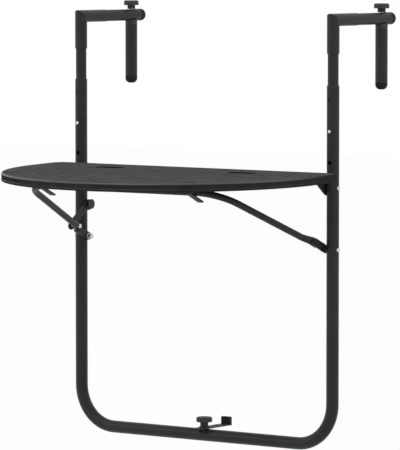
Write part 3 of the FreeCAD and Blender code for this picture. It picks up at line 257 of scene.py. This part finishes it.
def bump(tree, height, distance, strength=1.0, below=None):
    node = add_node(tree, "ShaderNodeBump", Strength=strength, Distance=distance)
    tree.links.new(height, node.inputs["Height"])
    if below is not None:
        tree.links.new(below, node.inputs["Normal"])
    return node.outputs["Normal"]


def maths(tree, operation, *values):
    node = tree.nodes.new("ShaderNodeMath")
    node.operation = operation
    for socket, value in zip(node.inputs, values):
        if isinstance(value, (int, float)):
            socket.default_value = value
        else:
            tree.links.new(value, socket)
    return node.outputs["Value"]


def seen_rays(tree):
    """1 for rays that show the background: from the camera, in a mirror or through glass"""
    rays = tree.nodes.new("ShaderNodeLightPath").outputs
    seen = maths(tree, "MAXIMUM", rays["Is Camera Ray"], rays["Is Glossy Ray"])
    return maths(tree, "MAXIMUM", seen, rays["Is Transmission Ray"])


def show_white(tree, kind, lit, output, share=1.0):
    """Shows a white background, or that share of white over a lit surface that keeps its shadow"""
    white = add_node(tree, kind, Strength=1.0, Color=WHITE)
    mix = tree.nodes.new("ShaderNodeMixShader")
    tree.links.new(maths(tree, "MULTIPLY", seen_rays(tree), share), mix.inputs["Fac"])
    tree.links.new(lit, mix.inputs[1])
    tree.links.new(white.outputs[0], mix.inputs[2])
    tree.links.new(mix.outputs["Shader"], output.inputs["Surface"])


# Finishes


def powder_coat(name, colour):
    """Satin powder coat: fine orange peel and faint blotches"""
    material, tree, shader = new_material(name, colour, roughness=0.42, specular=0.2)
    place = object_place(tree)
    blotches = spread(tree, noise(tree, place, scale=18, detail=4), 0, 1)
    sheen = spread(tree, noise(tree, place, scale=60, detail=5), low=0.36, high=0.50)
    grain = bump(tree, noise(tree, place, scale=1600, detail=2), distance=0.04 * MM)
    peel = bump(tree, noise(tree, place, scale=520, detail=3), distance=0.10 * MM, below=grain)
    tree.links.new(tint(tree, blotches, colour, darker=0.88, lighter=1.16), shader.inputs["Base Color"])
    tree.links.new(sheen, shader.inputs["Roughness"])
    tree.links.new(peel, shader.inputs["Normal"])
    return material


def moulded_plastic(name, colour, gloss=0.05):
    """Moulded plastic with a spark eroded grain"""
    material, tree, shader = new_material(name, colour, roughness=0.5, specular=gloss)
    place = object_place(tree)
    patches = spread(tree, noise(tree, place, scale=35, detail=4), 0, 1)
    sheen = spread(tree, noise(tree, place, scale=90, detail=4), low=0.42, high=0.58)
    grain = bump(tree, noise(tree, place, scale=1300, detail=4), distance=0.06 * MM)
    tree.links.new(tint(tree, patches, colour, darker=0.85, lighter=1.3), shader.inputs["Base Color"])
    tree.links.new(sheen, shader.inputs["Roughness"])
    tree.links.new(grain, shader.inputs["Normal"])
    return material


def zinc_plate(name, colour):
    """Bright zinc plating with soft spangle"""
    material, tree, shader = new_material(name, colour, roughness=0.3, metallic=1.0)
    place = object_place(tree)
    spangle = add_node(tree, "ShaderNodeTexVoronoi", Scale=420)
    tree.links.new(place, spangle.inputs["Vector"])
    sheen = spread(tree, noise(tree, place, scale=240, detail=5), low=0.22, high=0.42)
    grain = bump(tree, noise(tree, place, scale=900, detail=3), distance=0.03 * MM)
    tree.links.new(tint(tree, spangle.outputs["Distance"], colour, darker=0.9, lighter=1.1),
                   shader.inputs["Base Color"])
    tree.links.new(sheen, shader.inputs["Roughness"])
    tree.links.new(grain, shader.inputs["Normal"])
    return material


def soft_rubber(name, colour):
    """Matt rubber with a dusty surface"""
    material, tree, shader = new_material(name, colour, roughness=0.8, specular=0.2)
    place = object_place(tree)
    dust = spread(tree, noise(tree, place, scale=70, detail=5), 0, 1)
    grain = bump(tree, noise(tree, place, scale=700, detail=5), distance=0.12 * MM)
    tree.links.new(tint(tree, dust, colour, darker=0.8, lighter=1.9), shader.inputs["Base Color"])
    tree.links.new(grain, shader.inputs["Normal"])
    return material


def weave_height(tree, place, pitch):
    """Height of a plain weave: strands pass over and under by turns"""
    parts = tree.nodes.new("ShaderNodeSeparateXYZ")
    tree.links.new(place, parts.inputs["Vector"])
    turns = [maths(tree, "MULTIPLY", parts.outputs[i], 1 / pitch) for i in (0, 1)]
    arches = [maths(tree, "SINE", maths(tree, "MULTIPLY", maths(tree, "FRACT", turn), math.pi))
              for turn in turns]
    squares = maths(tree, "ADD", *[maths(tree, "FLOOR", turn) for turn in turns])
    crowns = [maths(tree, "MULTIPLY", *[maths(tree, "POWER", arch, power)
                                        for arch, power in zip(arches, powers)])
              for powers in (STRAND_ABOVE, STRAND_BELOW)]
    height = tree.nodes.new("ShaderNodeMix")
    tree.links.new(maths(tree, "PINGPONG", squares, 1.0), height.inputs["Factor"])
    tree.links.new(crowns[0], height.inputs["A"])
    tree.links.new(maths(tree, "MULTIPLY", crowns[1], LOWER_STRAND), height.inputs["B"])
    return height.outputs["Result"]


def moulded_weave(name, colour, pitch):
    """Matt plain weave moulded into the level faces of the tabletop, with the relief painted into the
    colour: painted shade in the dips between the strands, painted light on their crowns
    """
    material, tree, shader = new_material(name, colour, roughness=0.6, specular=0.0)
    place = object_place(tree)
    strands = weave_height(tree, place, pitch)
    patches = spread(tree, noise(tree, place, scale=30, detail=4), low=0, high=0.3)
    # Painted shade and light: the colour follows the weave's height, darker in the dips and lighter on
    # the crowns, plus random patches of tone
    shade = maths(tree, "ADD", maths(tree, "MULTIPLY", strands, 0.7), patches)
    grain = bump(tree, noise(tree, place, scale=1500, detail=3), distance=0.05 * MM)
    relief = bump(tree, strands, distance=0.6 * MM, strength=0.8, below=grain)
    tree.links.new(tint(tree, shade, colour, darker=0.45, lighter=1.75), shader.inputs["Base Color"])
    tree.links.new(relief, shader.inputs["Normal"])
    return material


def moulded_rim(name, colour):
    """Satin rim of the tabletop, coloured darker than its face as painted shade, rubbed brighter on the
    rounding towards the user
    """
    material, tree, shader = new_material(name, colour, roughness=0.6)
    place = object_place(tree)
    facing = tree.nodes.new("ShaderNodeSeparateXYZ")
    tree.links.new(tree.nodes.new("ShaderNodeTexCoord").outputs["Normal"], facing.inputs["Vector"])
    upwards = spread(tree, facing.outputs["Z"], low=0, high=1, start=0.1, end=0.5)
    forwards = spread(tree, facing.outputs["Y"], low=1, high=0, start=-0.2, end=0.0)
    rubbed = maths(tree, "MULTIPLY", upwards, forwards)
    patches = spread(tree, noise(tree, place, scale=40, detail=4), 0, 1)
    grain = bump(tree, noise(tree, place, scale=1500, detail=3), distance=0.05 * MM)
    tree.links.new(tint(tree, patches, colour, darker=0.85, lighter=1.2), shader.inputs["Base Color"])
    tree.links.new(spread(tree, rubbed, low=0.60, high=0.36, start=0, end=1), shader.inputs["Roughness"])
    tree.links.new(spread(tree, rubbed, low=0.0, high=0.50, start=0, end=1),
                   shader.inputs["Specular IOR Level"])
    tree.links.new(grain, shader.inputs["Normal"])
    return material


def finish_of(name, maker, *values):
    """The material of that name, made once"""
    return bpy.data.materials.get(name) or maker(name, *values)


def dress(nodes, material):
    """Gives CAD nodes their finish"""
    for name in nodes:
        for place in frame["nodes"][name].material_slots:
            place.material = material


def both(*names):
    """The names of the left and right nodes"""
    return ["%s_%s" % (name, side) for name in names for side in SIDES]


# Mesh helpers


def finished_piece(bm, name, body, materials, replaces):
    """Turns the mesh into a piece that rides on its body in place of CAD nodes"""
    bmesh.ops.recalc_face_normals(bm, faces=bm.faces)
    mesh = bpy.data.meshes.new(name)
    bm.to_mesh(mesh)
    bm.free()
    piece = bpy.data.objects.new(name, mesh)
    bpy.context.scene.collection.objects.link(piece)
    for material in materials:
        mesh.materials.append(material)
    mesh.shade_smooth()
    mesh.set_sharp_from_angle(angle=SHARP_ANGLE)
    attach(piece, body)
    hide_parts(*replaces)


def bridge(bm, lower, upper, finish):
    """Joins two loops of points with a ring of faces"""
    count = len(lower)
    for i in range(count):
        j = (i + 1) % count
        bm.faces.new((lower[i], lower[j], upper[j], upper[i])).material_index = finish


def fill(bm, loops):
    """Closes a level face between an outer loop and the loops inside it"""
    edges = []
    for loop in loops:
        for i, vert in enumerate(loop):
            other = loop[(i + 1) % len(loop)]
            edges.append(bm.edges.get((vert, other)) or bm.edges.new((vert, other)))
    bmesh.ops.triangle_fill(bm, edges=edges, use_beauty=True)


def plan_outline(half, rear, side, depth, corner, front_steps=180, corner_steps=10):
    """Points round the tabletop's plan with their outward normals, clockwise from the right side"""
    joint = rear - side
    spots = []
    for i in range(front_steps + 1):
        turn = -math.pi * i / front_steps
        point = Vector((half * math.cos(turn), joint + depth * math.sin(turn)))
        normal = Vector((math.cos(turn) / half, math.sin(turn) / depth)).normalized()
        spots.append((point, normal))
    for sign in (-1, 1):
        centre = Vector((sign * (half - corner), rear - corner))
        first = math.pi if sign < 0 else math.pi / 2
        for i in range(corner_steps + 1):
            turn = first - math.pi / 2 * i / corner_steps
            normal = Vector((math.cos(turn), math.sin(turn)))
            spots.append((centre + corner * normal, normal))
    return spots


def slot_outline(centre, reach, radius, steps=24):
    """Points round a slot with round ends that lies along X"""
    spots = []
    for sign in (1, -1):
        for i in range(steps + 1):
            turn = math.pi * i / steps - sign * math.pi / 2
            spots.append((centre.x + sign * reach + radius * math.cos(turn),
                          centre.y + radius * math.sin(turn)))
    return spots


def quarter(radius, steps=6):
    """Inset and drop of a quarter round, from the flat face outwards"""
    turns = [math.pi / 2 * i / steps for i in range(steps + 1)]
    return [(radius * (1 - math.sin(t)), radius * (1 - math.cos(t))) for t in turns]


# Operators


class BARTABLE_OT_metal_frame(bpy.types.Operator):
    """Powder coat on the frame, hooks, pegs, brackets, brace, spacer bar and lock link"""

    bl_idname = "bartable.metal_frame"
    bl_label = "Coat the metal frame"

    def execute(self, context):
        colours = context.scene.bar_table_colours
        coat = finish_of("powder_coat", powder_coat, colours.paint)
        dress(["u_frame", "brace_tube", "brace_rivets", "spacer_bar", "lock_link"]
              + both("hook_tube", "inner_tube", "peg_tube", "hinge_bracket", "brace_tab"), coat)
        return {"FINISHED"}


class BARTABLE_OT_hardware(bpy.types.Operator):
    """Zinc plate on bolts, nuts, washers, screws, studs, inserts, bare rivets, buttons and springs"""

    bl_idname = "bartable.hardware"
    bl_label = "Plate the hardware"

    def execute(self, context):
        colours = context.scene.bar_table_colours
        plate = finish_of("zinc_plate", zinc_plate, colours.zinc)
        dress(["hinge_bolts", "hinge_nuts", "brace_bolts", "brace_nuts", "brace_washers", "lock_insert",
               "bottom_insert", "bracket_screws", "clip_screws", "lock_rivet", "lock_screw",
               "spacer_screw"]
              + both("hook_rivet", "snap_button", "snap_spring", "peg_insert", "clamp_stud"), plate)
        return {"FINISHED"}


class BARTABLE_OT_plastic_parts(bpy.types.Operator):
    """Black plastic on bushes, saddles, clips, rings and knobs, grey plastic caps and a rubber cap"""

    bl_idname = "bartable.plastic_parts"
    bl_label = "Finish the plastic and rubber parts"

    def execute(self, context):
        colours = context.scene.bar_table_colours
        plastic = finish_of("black_plastic", moulded_plastic, colours.plastic)
        caps = finish_of("grey_plastic", moulded_plastic, colours.caps)
        rubber = finish_of("soft_rubber", soft_rubber, colours.rubber)
        dress(["brace_spacer_rings", "lock_knob", "spacer_knob"]
              + both("post_bush", "peg_saddle", "brace_clip", "clamp_knob"), plastic)
        dress(both("arm_cap", "peg_cap"), caps)
        dress(["spacer_pad"], rubber)
        return {"FINISHED"}


class BARTABLE_OT_tabletop(bpy.types.Operator):
    """Moulded tabletop with a beaded rim, two long recesses and a woven texture, sloping to the front"""

    bl_idname = "bartable.tabletop"
    bl_label = "Make the tabletop"

    def execute(self, context):
        sizes, colours = context.scene.bar_table_sizes, context.scene.bar_table_colours
        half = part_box("tabletop")[1][0]
        spots = plan_outline(half, sizes.rear_edge, sizes.side_length, sizes.front_depth,
                             sizes.corner_radius)
        bm = bmesh.new()
        rings = [[bm.verts.new((*(p - n * inset), sizes.surface - drop)) for p, n in spots]
                 for inset, drop in self.rim_profile(sizes)]
        for upper, lower in zip(rings, rings[1:]):
            bridge(bm, lower, upper, RIM)
        recesses = [self.recess(bm, sizes, sign) for sign in (-1, 1)]
        fill(bm, [rings[0], *recesses])
        fill(bm, [rings[-1]])
        hinge = next(joint for joint in frame["joints"] if joint["name"] == "table_fold")
        bmesh.ops.rotate(bm, cent=hinge["pos_m"], matrix=Matrix.Rotation(sizes.droop, 3, "X"),
                         verts=bm.verts)
        finishes = {FACE: finish_of("moulded_weave", moulded_weave, colours.weave, sizes.weave_pitch),
                    # The rim's darker colour is painted shade
                    RIM: finish_of("moulded_rim", moulded_rim, colours.rim),
                    # Recess walls in black plastic without gloss: painted shade, much darker than the
                    # tabletop's face
                    RECESS_WALL_SHADE: finish_of("recess_edge", moulded_plastic, colours.plastic, 0.0)}
        finished_piece(bm, "woven_top", "table", finishes.values(), ["tabletop"])
        return {"FINISHED"}

    def rim_profile(self, sizes):
        """Inset and drop of the rim from the flat face down to the underside"""
        bead = sizes.bead
        top = quarter(sizes.rim_radius)
        foot = [(inset, sizes.thickness - drop) for inset, drop in reversed(quarter(sizes.foot_radius))]
        waist_top = top[-1][1] + 1.5 * MM
        bead_top = sizes.thickness - 2.6 * sizes.foot_radius
        waist = [(0.6 * bead, waist_top), (bead, bead_top - 1.2 * MM),
                 (0.9 * bead, bead_top - 0.5 * MM), (0.2 * bead, bead_top)]
        return top + waist + foot

    def recess(self, bm, sizes, sign):
        """Sinks one recess, whose walls carry painted shade, and returns its upper edge"""
        centre = Vector((sign * sizes.recess_centre[0], sizes.recess_centre[1]))
        depth = sizes.recess_depth
        lip = [(0.6 * MM, 0), (0.2 * MM, 0.2 * MM), (0, 0.7 * MM)]
        foot = [(-0.4 * MM, depth - 1.2 * MM), (-1.0 * MM, depth - 0.3 * MM), (-2.2 * MM, depth)]
        loops = []
        for growth, drop in lip + foot:
            outline = slot_outline(centre, sizes.recess_reach, sizes.recess_radius + growth)
            loops.append([bm.verts.new((x, y, sizes.surface - drop)) for x, y in outline])
        # The walls of the recess take the painted shade
        for upper, lower in zip(loops, loops[1:]):
            bridge(bm, lower, upper, RECESS_WALL_SHADE)
        fill(bm, [loops[-1]])
        return loops[0]


class BARTABLE_OT_studio(bpy.types.Operator):
    """Pale floor, soft lamps, even sky and the camera"""

    bl_idname = "bartable.studio"
    bl_label = "Set the studio"

    def execute(self, context):
        scene = context.scene
        studio = scene.bar_table_studio
        scene.view_settings.view_transform = "Standard"
        self.floor(scene, scene.bar_table_colours, studio)
        self.sky(scene, studio)
        self.lamps(scene, studio)
        self.camera(scene, studio)
        return {"FINISHED"}

    def floor(self, scene, colours, studio):
        bm = bmesh.new()
        bmesh.ops.create_grid(bm, x_segments=1, y_segments=1, size=FLOOR_HALF_WIDTH)
        mesh = bpy.data.meshes.new("floor")
        bm.to_mesh(mesh)
        bm.free()
        floor = bpy.data.objects.new("floor", mesh)
        floor.location.z = CAD_BOX[0].z - studio.floor_drop
        scene.collection.objects.link(floor)
        material, tree, shader = new_material("studio_floor", colours.floor, roughness=0.9, specular=0.0)
        show_white(tree, "ShaderNodeEmission", shader.outputs["BSDF"], tree.nodes["Material Output"],
                   FLOOR_WHITENESS)
        mesh.materials.append(material)

    def sky(self, scene, studio):
        world = bpy.data.worlds.new("studio_sky")
        scene.world = world
        world.use_nodes = True
        tree = world.node_tree
        light = tree.nodes["Background"]
        light.inputs["Color"].default_value = WHITE
        light.inputs["Strength"].default_value = studio.world_strength
        show_white(tree, "ShaderNodeBackground", light.outputs["Background"], tree.nodes["World Output"])

    def lamps(self, scene, studio):
        for name, place, power, size in (
            ("key_light", (2.4, 0.2, 1.9), studio.key_power, 1.4),
            ("fill_light", (-2.4, -2.6, 1.0), studio.fill_power, 1.6),
            ("top_light", (-0.5, -1.5, 2.0), studio.top_power, 1.0),
        ):
            lamp = bpy.data.lights.new(name, "AREA")
            lamp.energy = power
            lamp.size = size
            obj = bpy.data.objects.new(name, lamp)
            obj.location = place
            aim = LAMP_TARGET - Vector(place)
            obj.rotation_euler = aim.to_track_quat("-Z", "Y").to_euler()
            scene.collection.objects.link(obj)

    def camera(self, scene, studio):
        data = bpy.data.cameras.new("camera")
        data.lens = studio.lens
        data.sensor_width = SENSOR_WIDTH
        data.clip_end = CAMERA_REACH
        camera = bpy.data.objects.new("camera", data)
        place = Vector(studio.camera_place)
        aim = Vector(studio.camera_target) - place
        camera.location = place
        camera.rotation_euler = aim.to_track_quat("-Z", "Y").to_euler()
        scene.collection.objects.link(camera)
        scene.camera = camera


class BARTABLE_PT_panel(bpy.types.Panel):
    """Lists the settings and the steps"""

    bl_idname = "BARTABLE_PT_panel"
    bl_label = "Bar Table"
    bl_space_type = "VIEW_3D"
    bl_region_type = "UI"
    bl_category = "Bar Table"

    def draw(self, context):
        for name, group in GROUPS:
            box = self.layout.box()
            for field in group.__annotations__:
                box.prop(getattr(context.scene, name), field)
        for operator in OPERATORS:
            self.layout.operator(operator.bl_idname)


GROUPS = (
    ("bar_table_sizes", TableSizes),
    ("bar_table_colours", TableColours),
    ("bar_table_studio", StudioSettings),
)
OPERATORS = (
    BARTABLE_OT_metal_frame,
    BARTABLE_OT_hardware,
    BARTABLE_OT_plastic_parts,
    BARTABLE_OT_tabletop,
    BARTABLE_OT_studio,
)


def register():
    for name, group in GROUPS:
        bpy.utils.register_class(group)
        setattr(bpy.types.Scene, name, bpy.props.PointerProperty(type=group))
    for cls in (*OPERATORS, BARTABLE_PT_panel):
        bpy.utils.register_class(cls)


def unregister():
    for cls in reversed((*OPERATORS, BARTABLE_PT_panel)):
        bpy.utils.unregister_class(cls)
    for name, group in reversed(GROUPS):
        delattr(bpy.types.Scene, name)
        bpy.utils.unregister_class(group)


def main():
    register()
    bpy.ops.bartable.metal_frame()
    bpy.ops.bartable.hardware()
    bpy.ops.bartable.plastic_parts()
    bpy.ops.bartable.tabletop()
    bpy.ops.bartable.studio()


if __name__ == "__main__":
    main()
